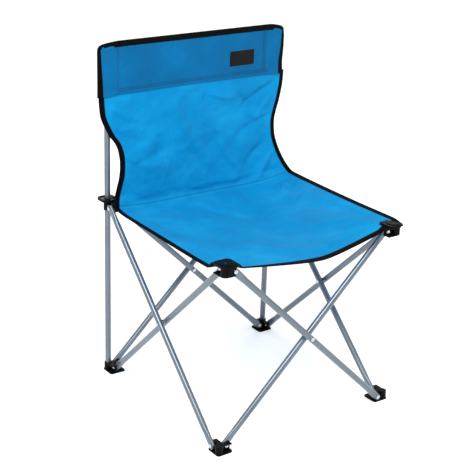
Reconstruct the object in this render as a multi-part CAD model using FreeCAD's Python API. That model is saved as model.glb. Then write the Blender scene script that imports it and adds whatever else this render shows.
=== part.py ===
"""Armless quad-fold camping chair: steel scissor frame, moulded corners, fabric seat and back.

Every piece is built in a square layout about the middle of the four feet and is moved
by FRAME_SHIFT when it is written, so that the origin is the middle of the chair's
footprint box on the ground. X is across the chair, the front faces -Y, Z is up.
All sizes are in millimetres.
"""
import FreeCAD, Part
import math
import os

from FreeCAD import Placement, Rotation, Vector

# ---------------------------------------------------------------- frame
PIVOT_SPAN = 428.0          # between the two pivots of a bar, level, on all four sides
FOOT_PIVOT_Z = 12.0         # pivot height in a foot above the ground
HUB_PIVOT_Z = 423.0         # pivot height in a hub or slider
PIVOT_INSET = 10.5          # foot centre to the pivot, along the side of the chair
OUTER_PLANE = 14.5          # foot centre to the outer bar's middle plane, outwards
CROSSING_GAP = 1.5          # between two tubes where they cross

# ---------------------------------------------------------------- bars and posts
BAR_DIA = 14.0
BAR_WALL = 0.8
BAR_END_THICK = 9.0         # pressed end, across the flats
BAR_END_WIDTH = 16.5        # pressed end, edge to edge
BAR_END_LENGTH = 20.0       # pressed length past the pivot
BAR_NECK_LENGTH = 22.0      # from the pressed end to the round tube
POST_DIA = 14.0
POST_WALL = 0.8
POST_OFFSET = 10.5          # foot centre to the post axis, outwards both ways
POST_TOP_Z = 795.0
POST_PLUG_CAP = 2.5         # head of the end plug
POST_PLUG_DEPTH = 14.0

# ---------------------------------------------------------------- rivets
RIVET_DIA = 5.0
RIVET_HEAD_DIA = 9.6
RIVET_HEAD = 2.0
RIVET_CLEARANCE = 0.08      # radial, in a turning bar
SPACER_DIA = 13.0
SPACER_GAP = 0.1            # each side of the spacer between crossing bars

# ---------------------------------------------------------------- moulded corners
PLATE_SIZE = 40.0
PLATE_THICK = 3.0
PLATE_CORNER = 6.0
MOULD_HEIGHT = 21.0         # outer face of the plate to the far face of the flange
FLANGE_THICK = 2.5
FLANGE_REACH = 18.0         # foot centre to the flange's far edges
FLANGE_SETBACK = 3.0        # flange edge in from the plate's outer edges
HUB_FLANGE_SETBACK = 0.0    # the same on a front hub
CHEEK_THICK = 1.5           # front hub's wall over the outer bar's end
WEB_THICK = 4.0
BAR_SIDE_GAP = 0.4          # between a pressed bar end and the web beside it
COLUMN_DIA = 18.4
SLIDER_FIT = 0.3            # radial, slider on its post
SOCKET_FIT = 0.05           # radial, post in its foot
SLIDER_RISE = 7.5           # ring plate above the top of a front hub
RING_THICK = 5.0
RING_SIZE = 40.0
RING_CORNER = 12.0
RING_WINDOW_IN = 10.6
RING_WINDOW_OUT = 16.4
RING_WINDOW_HALF_ANGLE = 38.0

# ---------------------------------------------------------------- corner caps and screws
CAP_SIZE = 42.2
CAP_CORNER = 9.0
CAP_OUT = 2.6               # cap centre outwards of the hub centre, both ways
CAP_THICK = 4.0
CAP_BOSS_DIA = 29.0
CAP_BOSS_RISE = 1.4
CAP_EDGE = 1.6
SCREW_DIA = 4.0
SCREW_HEAD_DIA = 8.4
SCREW_HEAD = 2.0
SCREW_LENGTH = 12.0
PATCH_THICK = 1.2
PATCH_SIZE = 42.0
REAR_PATCH_RISE = 15.0      # its top above the top of a front hub
REAR_SCREW_LENGTH = 7.0
LUG_THICK = 2.5             # slider face that takes the seat corner's screw
LUG_HALF_WIDTH = 8.0
LUG_HEIGHT = 10.0

# ---------------------------------------------------------------- fabric
FABRIC_THICK = 1.6
BAND_THICK = 2.4            # doubled top band
BINDING_WIDTH = 10.0
SOFT_GAP = 0.5              # between fabric pieces and their neighbours
SEAT_HALF_WIDTH = 246.0
SEAT_FRONT_Y = -236.0
SEAT_SEAM_Y = 198.0
SEAT_REAR_DROP = 8.0        # seat edge lower at the back than at the front
SEAT_SIDE_SAG = 5.0
SEAT_FRONT_DROOP = 26.0
SEAT_MIDDLE_SAG = 30.0
SEAT_SEAM_SAG = 12.0
ELBOW_RISE = 90.0           # seam to the line where the back folds on itself
BACK_COVER = 10.0           # cloth above the top of a post
BAND_HEIGHT = 121.0
BACK_HALF_WIDTH = 258.0     # at the band
WAIST_HALF_WIDTH = 213.0
WAIST_RISE = 133.0          # seam up to the waist, for a back of the drawn height
WAIST_FALL = 124.0          # band down to the waist, likewise
SLEEVE_HALF_WIDTH = 25.0
SLEEVE_EASE = 2.5           # sleeve's outer face beyond the post, front and rear
SLEEVE_STITCH_GAP = 1.0
TOP_BINDING = 8.0
BINDING_WRAP = 1.0          # top binding proud of the band, front and back
LABEL_WIDTH = 71.0
LABEL_HEIGHT = 36.0
LABEL_THICK = 0.6
LABEL_CENTRE_X = 130.0
LABEL_DROP = 71.0           # top of the backrest down to the label's centre

# ---------------------------------------------------------------- derived
BAR_RISE = HUB_PIVOT_Z - FOOT_PIVOT_Z
BAR_LENGTH = math.hypot(PIVOT_SPAN, BAR_RISE)
BAR_SLOPE = math.degrees(math.atan2(BAR_RISE, PIVOT_SPAN))
CORNER = PIVOT_SPAN / 2 + PIVOT_INSET            # foot centre from the chair's middle
POST_AT = CORNER + POST_OFFSET
HUB_TOP_Z = HUB_PIVOT_Z + FOOT_PIVOT_Z
INNER_PLANE = OUTER_PLANE - BAR_DIA - CROSSING_GAP  # foot centre to the inner bar's middle plane
SEAM_Z = HUB_TOP_Z - SEAT_REAR_DROP              # seam between seat and back, at its ends
BACK_TOP_Z = POST_TOP_Z + BACK_COVER
BAND_BOTTOM_Z = BACK_TOP_Z - BAND_HEIGHT
WAIST_Z = SEAM_Z + (BAND_BOTTOM_Z - SEAM_Z) * WAIST_RISE / (WAIST_RISE + WAIST_FALL)
LABEL_CENTRE_Z = BACK_TOP_Z - LABEL_DROP
WEB_REACH = FLANGE_REACH + 1.0
LUG_FACE = CORNER - WEB_REACH                    # front of a rear slider
SEAT_FOLD_Y = (SEAT_SEAM_Y - PIVOT_SPAN / 2) / 2 # the seat folds here when the chair closes
SLEEVE_DEPTH = POST_DIA + 2 * SLEEVE_EASE
BACK_FACE = POST_AT - POST_DIA / 2 - SOFT_GAP - FABRIC_THICK
OUTER_FACE = OUTER_PLANE + BAR_END_THICK / 2
OUTER_WEB_FACE = OUTER_PLANE - BAR_END_THICK / 2 - BAR_SIDE_GAP
INNER_WEB_FACE = INNER_PLANE + BAR_END_THICK / 2 + BAR_SIDE_GAP
BAR_END_FREE = PIVOT_INSET - BAR_END_WIDTH / 2 - BAR_SIDE_GAP   # clear of a turning bar's end
RIVET_OUT = OUTER_FACE + BAR_SIDE_GAP + RIVET_HEAD
FRONT_REACH = CORNER + RIVET_OUT
REAR_REACH = POST_AT + RING_SIZE / 2
FRAME_SHIFT = Vector(0, (FRONT_REACH - REAR_REACH) / 2, 0)

CORNERS = (("front_left", 0), ("front_right", 90), ("rear_right", 180), ("rear_left", 270))
SIDES = (("front", 0), ("right", 90), ("rear", 180), ("left", 270))
X_AXIS = Vector(1, 0, 0)
Y_AXIS = Vector(0, 1, 0)
Z_AXIS = Vector(0, 0, 1)
FAR = 2000.0


# ---------------------------------------------------------------- helpers
def write(name, shape):
    """Write one sub-part in the chair's own frame."""
    moved = shape.copy()
    moved.translate(FRAME_SHIFT)
    moved.exportStep(os.path.join("parts", name + ".step"))


def box(low, high):
    """Box between two corners given as (x, y, z)."""
    size = [high[i] - low[i] for i in range(3)]
    return Part.makeBox(size[0], size[1], size[2], Vector(*low))


def rod(diameter, start, end):
    """Round rod between two points."""
    axis = end.sub(start)
    return Part.makeCylinder(diameter / 2, axis.Length, start, axis)


def rounded_plate(size, corner, low_z, high_z, centre=(0.0, 0.0)):
    """Square plate with rounded upright corners."""
    half = size / 2
    plate = box((centre[0] - half, centre[1] - half, low_z), (centre[0] + half, centre[1] + half, high_z))
    upright = [edge for edge in plate.Edges if abs(edge.BoundBox.ZLength) > (high_z - low_z) / 2]
    return plate.makeFillet(corner, upright)


def group(solids):
    """Several separate solids in one sub-part."""
    return Part.makeCompound(solids)


def single(shape):
    """The one solid of a boolean result."""
    return shape.removeSplitter().Solids[0]


def turned(shape, degrees):
    """A copy turned about the chair's middle."""
    copy = shape.copy()
    copy.rotate(Vector(0, 0, 0), Z_AXIS, degrees)
    return copy


# ---------------------------------------------------------------- scissor bars
def pressed_section(x, inset):
    """Flattened tube outline at x, made smaller all round by inset."""
    half_thick = BAR_END_THICK / 2 - inset
    half_width = BAR_END_WIDTH / 2 - inset
    flat = BAR_END_WIDTH / 2 - BAR_END_THICK / 2
    a, b = Vector(x, half_thick, -flat), Vector(x, half_thick, flat)
    c, d = Vector(x, -half_thick, flat), Vector(x, -half_thick, -flat)
    return Part.Wire([
        Part.makeLine(a, b),
        Part.Arc(b, Vector(x, 0, half_width), c).toShape(),
        Part.makeLine(c, d),
        Part.Arc(d, Vector(x, 0, -half_width), a).toShape()])


def round_section(x, inset):
    """Round tube outline at x in four arcs that match the pressed outline."""
    r = BAR_DIA / 2 - inset
    k = r * math.sqrt(0.5)
    a, b, c, d = Vector(x, k, -k), Vector(x, k, k), Vector(x, -k, k), Vector(x, -k, -k)
    return Part.Wire([
        Part.Arc(a, Vector(x, r, 0), b).toShape(),
        Part.Arc(b, Vector(x, 0, r), c).toShape(),
        Part.Arc(c, Vector(x, -r, 0), d).toShape(),
        Part.Arc(d, Vector(x, 0, -r), a).toShape()])


def bar_body(inset, overrun):
    """Solid of the bar's outer or inner surface along X, first pivot at x = 0."""
    press_end = BAR_END_LENGTH
    neck_end = press_end + BAR_NECK_LENGTH
    sections = [
        pressed_section(-overrun, inset), pressed_section(press_end, inset),
        round_section(neck_end, inset), round_section(BAR_LENGTH - neck_end, inset),
        pressed_section(BAR_LENGTH - press_end, inset), pressed_section(BAR_LENGTH + overrun, inset)]
    return Part.makeLoft(sections, True, True)


def make_bar():
    """Steel tube with pressed, rounded, drilled ends and a drilled middle."""
    reach = BAR_END_WIDTH / 2
    outer = bar_body(0.0, reach)
    end_shape = box((0, -BAR_DIA, -BAR_DIA), (BAR_LENGTH, BAR_DIA, BAR_DIA))
    for x in (0.0, BAR_LENGTH):
        end_shape = end_shape.fuse(rod(2 * reach, Vector(x, -BAR_DIA, 0), Vector(x, BAR_DIA, 0)))
    bar = outer.common(end_shape)
    bar = bar.cut(bar_body(BAR_WALL, reach + 1.0))
    for x in (0.0, BAR_LENGTH / 2, BAR_LENGTH):
        hole = rod(RIVET_DIA + 2 * RIVET_CLEARANCE, Vector(x, -BAR_DIA, 0), Vector(x, BAR_DIA, 0))
        bar = bar.cut(hole)
    return single(bar)


def front_bar(bar, rises_right, plane):
    """Place a bar on the front side; plane is its distance outwards from the foot centre."""
    direction = 1 if rises_right else -1
    angle = BAR_SLOPE if rises_right else 180 - BAR_SLOPE
    placed = bar.copy()
    placed.Placement = Placement(
        Vector(-direction * PIVOT_SPAN / 2, -CORNER - plane, FOOT_PIVOT_Z), Rotation(Y_AXIS, -angle))
    return placed


def make_crossing():
    """Rivet through the two front bars where they cross, with the spacer between them."""
    z = (FOOT_PIVOT_Z + HUB_PIVOT_Z) / 2
    outer_face = -CORNER - OUTER_PLANE - BAR_DIA / 2 - BAR_SIDE_GAP
    inner_face = -CORNER - INNER_PLANE + BAR_DIA / 2 + BAR_SIDE_GAP
    rivet = make_rivet(Vector(0, outer_face, z), Vector(0, inner_face, z))
    low = -CORNER - OUTER_PLANE + BAR_DIA / 2 + SPACER_GAP
    high = -CORNER - INNER_PLANE - BAR_DIA / 2 - SPACER_GAP
    spacer = rod(SPACER_DIA, Vector(0, low, z), Vector(0, high, z))
    spacer = spacer.cut(rod(RIVET_DIA + 2 * RIVET_CLEARANCE, Vector(0, low - 1, z), Vector(0, high + 1, z)))
    return group([rivet, spacer])


def make_rivet(start, end):
    """Shank from start to end with a domed head on each."""
    axis = end.sub(start).normalize()
    rivet = rod(RIVET_DIA, start, end)
    for base, way in ((start, axis.multiply(-1.0)), (end, end.sub(start).normalize())):
        head = Part.makeCylinder(RIVET_HEAD_DIA / 2, RIVET_HEAD, base, way)
        rim = [edge for edge in head.Edges
               if edge.Curve.TypeId == "Part::GeomCircle"
               and edge.Curve.Center.sub(base).Length > RIVET_HEAD / 2]
        rivet = rivet.fuse(head.makeFillet(RIVET_HEAD * 0.6, rim))
    return single(rivet)


# ---------------------------------------------------------------- moulded corners
def webs_and_flange(setback):
    """Upright webs, column and L-shaped flange, standing on z = 0, for the front-left foot."""
    height = MOULD_HEIGHT
    outer_web = box((-OUTER_WEB_FACE, -POST_OFFSET, 0), (-OUTER_WEB_FACE + WEB_THICK, WEB_REACH, height))
    inner_web = box((-POST_OFFSET, -INNER_WEB_FACE - WEB_THICK, 0), (WEB_REACH, -INNER_WEB_FACE, height))
    column = rod(COLUMN_DIA, Vector(-POST_OFFSET, -POST_OFFSET, 0), Vector(-POST_OFFSET, -POST_OFFSET, height))
    flange_corner = (-OUTER_WEB_FACE, -PLATE_SIZE / 2 + setback, height - FLANGE_THICK)
    arm_y = box(flange_corner, (BAR_END_FREE, FLANGE_REACH, height))
    arm_x = box(flange_corner, (FLANGE_REACH, -INNER_WEB_FACE, height))
    return outer_web.fuse([inner_web, column, arm_y, arm_x])


def rivet_seats():
    """Axes of the two corner rivets in the front-left foot: outer bar's, then inner bar's."""
    web_back = -OUTER_WEB_FACE + WEB_THICK
    outer = (Vector(-OUTER_FACE - BAR_SIDE_GAP / 2, PIVOT_INSET, FOOT_PIVOT_Z),
             Vector(web_back, PIVOT_INSET, FOOT_PIVOT_Z))
    inner = (Vector(PIVOT_INSET, -INNER_WEB_FACE - WEB_THICK, FOOT_PIVOT_Z),
             Vector(PIVOT_INSET, -INNER_PLANE + BAR_END_THICK / 2 + BAR_SIDE_GAP / 2, FOOT_PIVOT_Z))
    return outer, inner


def drill_rivet_holes(body):
    """Rivet holes through the webs."""
    for start, end in rivet_seats():
        body = body.cut(rod(RIVET_DIA, start, end))
    return body


def make_foot(has_post):
    """Moulded foot about its own centre, turned as for the front-left corner."""
    body = webs_and_flange(FLANGE_SETBACK)
    body = body.fuse(rounded_plate(PLATE_SIZE, PLATE_CORNER, 0, PLATE_THICK))
    if has_post:
        socket = rod(POST_DIA + 2 * SOCKET_FIT, Vector(-POST_OFFSET, -POST_OFFSET, PLATE_THICK),
                     Vector(-POST_OFFSET, -POST_OFFSET, MOULD_HEIGHT + 1))
        body = body.cut(socket)
    return single(drill_rivet_holes(body))


def make_front_hub():
    """The foot's moulding without a socket, with a cheek and a plate for the seat corner's screw."""
    body = webs_and_flange(HUB_FLANGE_SETBACK)
    cheek_face = OUTER_FACE + BAR_SIDE_GAP
    block = box((-cheek_face, -POST_OFFSET, 0), (-OUTER_WEB_FACE, BAR_END_FREE, MOULD_HEIGHT))
    cheek = box((-cheek_face - CHEEK_THICK, -POST_OFFSET, 0), (-cheek_face, PIVOT_INSET, MOULD_HEIGHT))
    head_room = RIVET_HEAD_DIA + 2 * BAR_SIDE_GAP
    cheek = cheek.cut(rod(head_room, Vector(-FAR, PIVOT_INSET, FOOT_PIVOT_Z), Vector(0, PIVOT_INSET, FOOT_PIVOT_Z)))
    body = body.fuse([block, cheek, rounded_plate(PLATE_SIZE, PLATE_CORNER, 0, PLATE_THICK)])
    body = body.cut(rod(SCREW_DIA, Vector(*screw_place(), -1), Vector(*screw_place(), SCREW_LENGTH)))
    return single(drill_rivet_holes(body))


def make_slider():
    """Rear slider: webs and flange under a windowed ring plate, bored for the post."""
    ring_face = -SLIDER_RISE
    centre = (-POST_OFFSET, -POST_OFFSET)
    body = webs_and_flange(FLANGE_SETBACK)
    riser = rod(COLUMN_DIA, Vector(*centre, ring_face), Vector(*centre, MOULD_HEIGHT))
    neck = box((-OUTER_WEB_FACE, -INNER_WEB_FACE - WEB_THICK, ring_face), (0, 0, PLATE_THICK))
    shelf = box((-OUTER_WEB_FACE, -INNER_WEB_FACE - WEB_THICK, 0), (WEB_REACH, WEB_REACH, PLATE_THICK))
    lug = box((WEB_REACH - LUG_THICK, -LUG_HALF_WIDTH, -LUG_HEIGHT), (WEB_REACH, LUG_HALF_WIDTH, PLATE_THICK))
    lug = lug.cut(rod(SCREW_DIA, Vector(0, 0, -LUG_HEIGHT / 2), Vector(WEB_REACH + 1, 0, -LUG_HEIGHT / 2)))
    other_lug = lug.copy()
    other_lug.rotate(Vector(0, 0, 0), Vector(1, 1, 0), 180)
    other_lug = other_lug.mirror(Vector(0, 0, 0), Z_AXIS)
    ring = rounded_plate(RING_SIZE, RING_CORNER, ring_face, ring_face + RING_THICK, centre)
    middle = Vector(*centre, ring_face - 1)
    for towards in (45.0, 225.0):
        sector = Part.makeCylinder(RING_WINDOW_OUT, RING_THICK + 2, middle, Z_AXIS,
                                   2 * RING_WINDOW_HALF_ANGLE)
        sector.rotate(middle, Z_AXIS, towards - RING_WINDOW_HALF_ANGLE)
        core = Part.makeCylinder(RING_WINDOW_IN, RING_THICK + 2, middle, Z_AXIS)
        ring = ring.cut(sector.cut(core))
    body = body.fuse([riser, neck, shelf, lug, other_lug, ring])
    bore = rod(POST_DIA + 2 * SLIDER_FIT, middle, Vector(*centre, MOULD_HEIGHT + 1))
    return single(drill_rivet_holes(body.cut(bore)))


def screw_place():
    """Front hub screw, where the webs meet the column, in the foot's layout."""
    return (-POST_OFFSET / 2, -POST_OFFSET / 2)


def at_foot(shape):
    """Move a corner piece from its own centre to the front-left foot."""
    placed = shape.copy()
    placed.translate(Vector(-CORNER, -CORNER, 0))
    return placed


def at_hub(shape):
    """Turn a corner piece over about the corner's diagonal and put it at the front-left hub."""
    placed = shape.copy()
    placed.rotate(Vector(0, 0, 0), Vector(1, 1, 0), 180)
    placed.translate(Vector(-CORNER, -CORNER, HUB_TOP_Z))
    return placed


def rim_edges(shape, z):
    """Edges that lie level at height z."""
    return [edge for edge in shape.Edges if abs(edge.BoundBox.ZMin - z) < 0.01]


def make_corner_cap():
    """Domed cap over the seat corner, on top of the front hub, about the hub centre."""
    low = HUB_TOP_Z + PATCH_THICK
    x, y = screw_place()
    cap = rounded_plate(CAP_SIZE, CAP_CORNER, low, low + CAP_THICK, (-CAP_OUT, -CAP_OUT))
    cap = cap.makeFillet(CAP_EDGE, rim_edges(cap, low + CAP_THICK))
    top = low + CAP_THICK + CAP_BOSS_RISE
    boss = rod(CAP_BOSS_DIA, Vector(x, y, low), Vector(x, y, top))
    cap = cap.fuse(boss.makeFillet(CAP_BOSS_RISE * 0.8, rim_edges(boss, top)))
    cap = cap.cut(rod(SCREW_DIA, Vector(x, y, low - 1), Vector(x, y, top + 1)))
    cap = cap.cut(rod(SCREW_HEAD_DIA + 0.4, Vector(x, y, top - SCREW_HEAD), Vector(x, y, top + 1)))
    return single(cap)


def make_cap_screw():
    """Pan-head screw through the cap and the fabric into the hub."""
    x, y = screw_place()
    seat = HUB_TOP_Z + PATCH_THICK + CAP_THICK + CAP_BOSS_RISE - SCREW_HEAD
    shank = rod(SCREW_DIA, Vector(x, y, seat - SCREW_LENGTH), Vector(x, y, seat))
    head = rod(SCREW_HEAD_DIA, Vector(x, y, seat), Vector(x, y, seat + SCREW_HEAD * 0.8))
    return single(shank.fuse(head))


def make_front_patch():
    """Reinforced fabric corner clamped between the hub and its cap."""
    patch = rounded_plate(PATCH_SIZE, 2.0, HUB_TOP_Z, HUB_TOP_Z + PATCH_THICK)
    x, y = screw_place()
    return single(patch.cut(rod(SCREW_DIA, Vector(x, y, HUB_TOP_Z - 1), Vector(x, y, HUB_TOP_Z + 3))))


# ---------------------------------------------------------------- fabric
def seat_height(x, y):
    """Height of the seat's upper face."""
    across = x / SEAT_HALF_WIDTH
    along = (y - SEAT_FRONT_Y) / (SEAT_SEAM_Y - SEAT_FRONT_Y)
    edge = HUB_TOP_Z + PATCH_THICK - SEAT_REAR_DROP * along - SEAT_SIDE_SAG * 4 * along * (1 - along)
    front_part = (1 - along) * (1 - 2 * along) * SEAT_FRONT_DROOP
    middle_part = 4 * along * (1 - along) * SEAT_MIDDLE_SAG
    rear_part = along * (2 * along - 1) * SEAT_SEAM_SAG
    return edge - (front_part + middle_part + rear_part) * (1 - across * across)


def make_seat_sheet():
    """Thin sagging sheet over the whole seat, before it is parted."""
    steps = 6
    reach_x = SEAT_HALF_WIDTH
    rows = []
    for i in range(steps + 1):
        x = -reach_x + 2 * reach_x * i / steps
        row = []
        for j in range(steps + 1):
            y = SEAT_FRONT_Y + (SEAT_SEAM_Y - SEAT_FRONT_Y) * j / steps
            row.append(Vector(x, y, seat_height(x, y)))
        rows.append(row)
    surface = Part.BSplineSurface()
    surface.interpolate(rows)
    return surface.toShape().extrude(Vector(0, 0, -FABRIC_THICK))


def plan_box(x_low, x_high, y_low, y_high):
    """Tall box over a plan rectangle."""
    return box((x_low, y_low, -FAR), (x_high, y_high, FAR))


def parted(sheet, boxes, cutters):
    """The parts of a sheet inside the boxes, clear of the cutters."""
    solids = []
    for region in boxes:
        piece = sheet.common(region)
        for cutter in cutters:
            piece = piece.cut(cutter)
        solids.extend(piece.Solids)
    return solids


def make_seat():
    """Seat front and rear panels with their edge bindings."""
    sheet = make_seat_sheet()
    edge = SEAT_HALF_WIDTH - BINDING_WIDTH
    front_edge = SEAT_FRONT_Y + BINDING_WIDTH
    half_gap = SOFT_GAP / 2
    keep_off = PATCH_SIZE / 2 + SOFT_GAP
    cutters = [plan_box(side * CORNER - keep_off, side * CORNER + keep_off,
                        -CORNER - keep_off, -CORNER + keep_off) for side in (-1, 1)]
    strips = [(-FAR, -edge), (edge, FAR)]
    front_end, rear_start = SEAT_FOLD_Y - half_gap, SEAT_FOLD_Y + half_gap
    front_sides = [plan_box(a, b, -FAR, front_end) for a, b in strips]
    rear_sides = [plan_box(a, b, rear_start, FAR) for a, b in strips]
    front_hem = plan_box(-edge, edge, -FAR, front_edge)
    return {
        "seat_front_panel": parted(sheet, [plan_box(-edge, edge, front_edge, front_end)], cutters),
        "seat_rear_panel": parted(sheet, [plan_box(-edge, edge, rear_start, FAR)], []),
        "seat_front_binding": parted(sheet, [front_hem] + front_sides, cutters),
        "seat_rear_binding": parted(sheet, rear_sides, []),
    }


def back_profile(z):
    """Front face of the backrest at a height: it leans back from the seam to the band."""
    share = (z - SEAM_Z) / (BAND_BOTTOM_Z - SEAM_Z)
    share = max(0.0, min(1.0, share))
    return SEAT_SEAM_Y + SOFT_GAP + (BACK_FACE - SEAT_SEAM_Y - SOFT_GAP) * (1 - (1 - share) ** 1.7)


def make_back_sheet(low_z, high_z):
    """Thin upright sheet following the back profile, full width."""
    steps = 8
    heights = [low_z + (high_z - low_z) * i / steps for i in range(steps + 1)]
    front = [Vector(-FAR / 2, back_profile(z), z) for z in heights]
    rear = [point.add(Vector(0, FABRIC_THICK, 0)) for point in front]
    curves = []
    for points in (front, rear):
        curve = Part.BSplineCurve()
        curve.interpolate(points)
        curves.append(curve.toShape())
    outline = Part.Wire([curves[0], Part.makeLine(front[-1], rear[-1]),
                         curves[1], Part.makeLine(rear[0], front[0])])
    return Part.Face(outline).extrude(Vector(FAR, 0, 0))


def back_outline(inset, low_z, high_z):
    """Upright prism of the backrest's outline, smaller at both sides by inset."""
    wide, waist, foot = BACK_HALF_WIDTH - inset, WAIST_HALF_WIDTH - inset, SEAT_HALF_WIDTH - inset
    above, below = (BAND_BOTTOM_Z - WAIST_Z) / WAIST_FALL, (WAIST_Z - SEAM_Z) / WAIST_RISE
    side = [(wide, BAND_BOTTOM_Z + 1), (wide - 3, BAND_BOTTOM_Z - 24 * above),
            ((wide + waist) / 2 + 4, WAIST_Z + 70 * above), (waist, WAIST_Z),
            (waist + 2, WAIST_Z - 45 * below), ((waist + foot) / 2 + 2, SEAM_Z + 36.5 * below), (foot, SEAM_Z)]
    edges = []
    for sign in (1, -1):
        curve = Part.BSplineCurve()
        curve.interpolate([Vector(sign * x, 0, z) for x, z in side])
        edges.append(curve.toShape())
    top = Part.makeLine(Vector(wide, 0, side[0][1]), Vector(-wide, 0, side[0][1]))
    bottom = Part.makeLine(Vector(foot, 0, SEAM_Z), Vector(-foot, 0, SEAM_Z))
    prism = Part.Face(Part.Wire([top, edges[1], bottom, edges[0]])).extrude(Vector(0, FAR / 2, 0))
    return prism.common(box((-FAR, -1, low_z), (FAR, FAR, high_z)))


def make_back():
    """Backrest panel above the fold line, the panel below it, and their side bindings."""
    elbow_z = SEAM_Z + ELBOW_RISE
    upper = (elbow_z + SOFT_GAP / 2, BAND_BOTTOM_Z - SOFT_GAP)
    lower = (SEAM_Z, elbow_z - SOFT_GAP / 2)
    corner_x = CORNER - PATCH_SIZE / 2 - SOFT_GAP
    patch_top = HUB_TOP_Z + REAR_PATCH_RISE + SOFT_GAP
    keep_off = [box((a, 0, 0), (b, FAR, patch_top)) for a, b in ((-FAR, -corner_x), (corner_x, FAR))]
    pieces = {}
    for name, (low, high) in (("upper", upper), ("lower", lower)):
        sheet = make_back_sheet(low, high)
        outer = back_outline(0.0, low, high)
        inner = back_outline(BINDING_WIDTH, low, high)
        panel = sheet.common(inner)
        binding = sheet.common(outer).cut(inner)
        for cutter in keep_off:
            panel = panel.cut(cutter)
            binding = binding.cut(cutter)
        pieces["back_%s_panel" % name] = panel.Solids
        pieces["back_%s_binding" % name] = binding.Solids
    return pieces


def sleeve_prism(inset, low_z, high_z):
    """Upright flattened tube about the right post, smaller all round by inset."""
    radius = SLEEVE_DEPTH / 2 - inset
    flat = SLEEVE_HALF_WIDTH - SLEEVE_DEPTH / 2
    core = box((POST_AT - flat, POST_AT - radius, low_z), (POST_AT + flat, POST_AT + radius, high_z))
    for x in (POST_AT - flat, POST_AT + flat):
        core = core.fuse(rod(2 * radius, Vector(x, POST_AT, low_z), Vector(x, POST_AT, high_z)))
    return core.removeSplitter()


def make_right_sleeve():
    """Fabric sleeve that holds the top of the right post, closed above it."""
    wall = FABRIC_THICK
    top = BACK_TOP_Z
    cavity_top = POST_TOP_Z + POST_PLUG_CAP + SOFT_GAP
    return single(sleeve_prism(0.0, BAND_BOTTOM_Z, top).cut(sleeve_prism(wall, BAND_BOTTOM_Z - 1, cavity_top)))


def make_band():
    """Doubled band between the sleeves and the binding along its top."""
    half = POST_AT - SLEEVE_HALF_WIDTH - SLEEVE_STITCH_GAP
    front = BACK_FACE
    rear = front + BAND_THICK
    panel = box((-half, front, BAND_BOTTOM_Z), (half, rear, BACK_TOP_Z - TOP_BINDING - SOFT_GAP))
    binding = box((-half, front - BINDING_WRAP, BACK_TOP_Z - TOP_BINDING), (half, rear + BINDING_WRAP, BACK_TOP_Z))
    label = box((LABEL_CENTRE_X - LABEL_WIDTH / 2, front - LABEL_THICK, LABEL_CENTRE_Z - LABEL_HEIGHT / 2),
                (LABEL_CENTRE_X + LABEL_WIDTH / 2, front, LABEL_CENTRE_Z + LABEL_HEIGHT / 2))
    return panel, binding, label


def make_rear_patch():
    """Reinforced seat corner on the front of the right slider, and the screw that holds it."""
    front = LUG_FACE - PATCH_THICK
    slope = math.radians(BAR_SLOPE)
    bar_top = HUB_PIVOT_Z - (PIVOT_SPAN / 2 - LUG_FACE) * math.tan(slope) + BAR_END_WIDTH / 2 / math.cos(slope)
    bar_side = CORNER + OUTER_PLANE - BAR_END_THICK / 2 - 2 * SOFT_GAP
    patch = box((CORNER - PATCH_SIZE / 2, front, bar_top + SOFT_GAP),
                (bar_side, LUG_FACE, HUB_TOP_Z + REAR_PATCH_RISE))
    screw_z = HUB_TOP_Z + LUG_HEIGHT / 2
    patch = patch.cut(rod(SCREW_DIA, Vector(CORNER, front - 1, screw_z), Vector(CORNER, LUG_FACE + 1, screw_z)))
    head = rod(SCREW_HEAD_DIA, Vector(CORNER, front - SCREW_HEAD * 0.8, screw_z), Vector(CORNER, front, screw_z))
    shank = rod(SCREW_DIA, Vector(CORNER, front, screw_z), Vector(CORNER, front + REAR_SCREW_LENGTH, screw_z))
    return single(patch), single(head.fuse(shank))


# ---------------------------------------------------------------- posts
def make_post():
    """Rear post tube and its end plug, at the rear-right corner."""
    base = Vector(POST_AT, POST_AT, PLATE_THICK)
    top = Vector(POST_AT, POST_AT, POST_TOP_Z)
    tube = rod(POST_DIA, base, top).cut(rod(POST_DIA - 2 * POST_WALL, base, top))
    plug = rod(POST_DIA - 2 * POST_WALL, top.sub(Vector(0, 0, POST_PLUG_DEPTH)), top)
    cap = rod(POST_DIA, top, top.add(Vector(0, 0, POST_PLUG_CAP)))
    rim = [edge for edge in cap.Edges if edge.BoundBox.ZMin > POST_TOP_Z + POST_PLUG_CAP - 0.01]
    plug = plug.fuse(cap.makeFillet(POST_PLUG_CAP * 0.6, rim))
    return single(tube), single(plug)


def mirrored(shape):
    """The same piece on the other side of the chair."""
    return shape.mirror(Vector(0, 0, 0), X_AXIS)


# ---------------------------------------------------------------- assembly
def write_frame():
    """Bars, crossing rivets, feet, hubs, sliders and their rivets."""
    bar = make_bar()
    outer_bar = front_bar(bar, False, OUTER_PLANE)
    inner_bar = front_bar(bar, True, INNER_PLANE)
    crossing = make_crossing()
    for side, degrees in SIDES:
        write(side + "_outer_bar", turned(outer_bar, degrees))
        write(side + "_inner_bar", turned(inner_bar, degrees))
        write(side + "_crossing_rivet", turned(crossing, degrees))
    corner_rivets = group([make_rivet(start, end) for start, end in rivet_seats()])
    for corner, degrees in CORNERS:
        at_rear = corner.startswith("rear")
        write(corner + "_foot", turned(at_foot(make_foot(at_rear)), degrees))
        upper = make_slider() if at_rear else make_front_hub()
        write(corner + ("_slider" if at_rear else "_hub"), turned(at_hub(upper), degrees))
        write(corner + "_foot_rivets", turned(at_foot(corner_rivets), degrees))
        write(corner + "_hub_rivets", turned(at_hub(corner_rivets), degrees))


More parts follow.
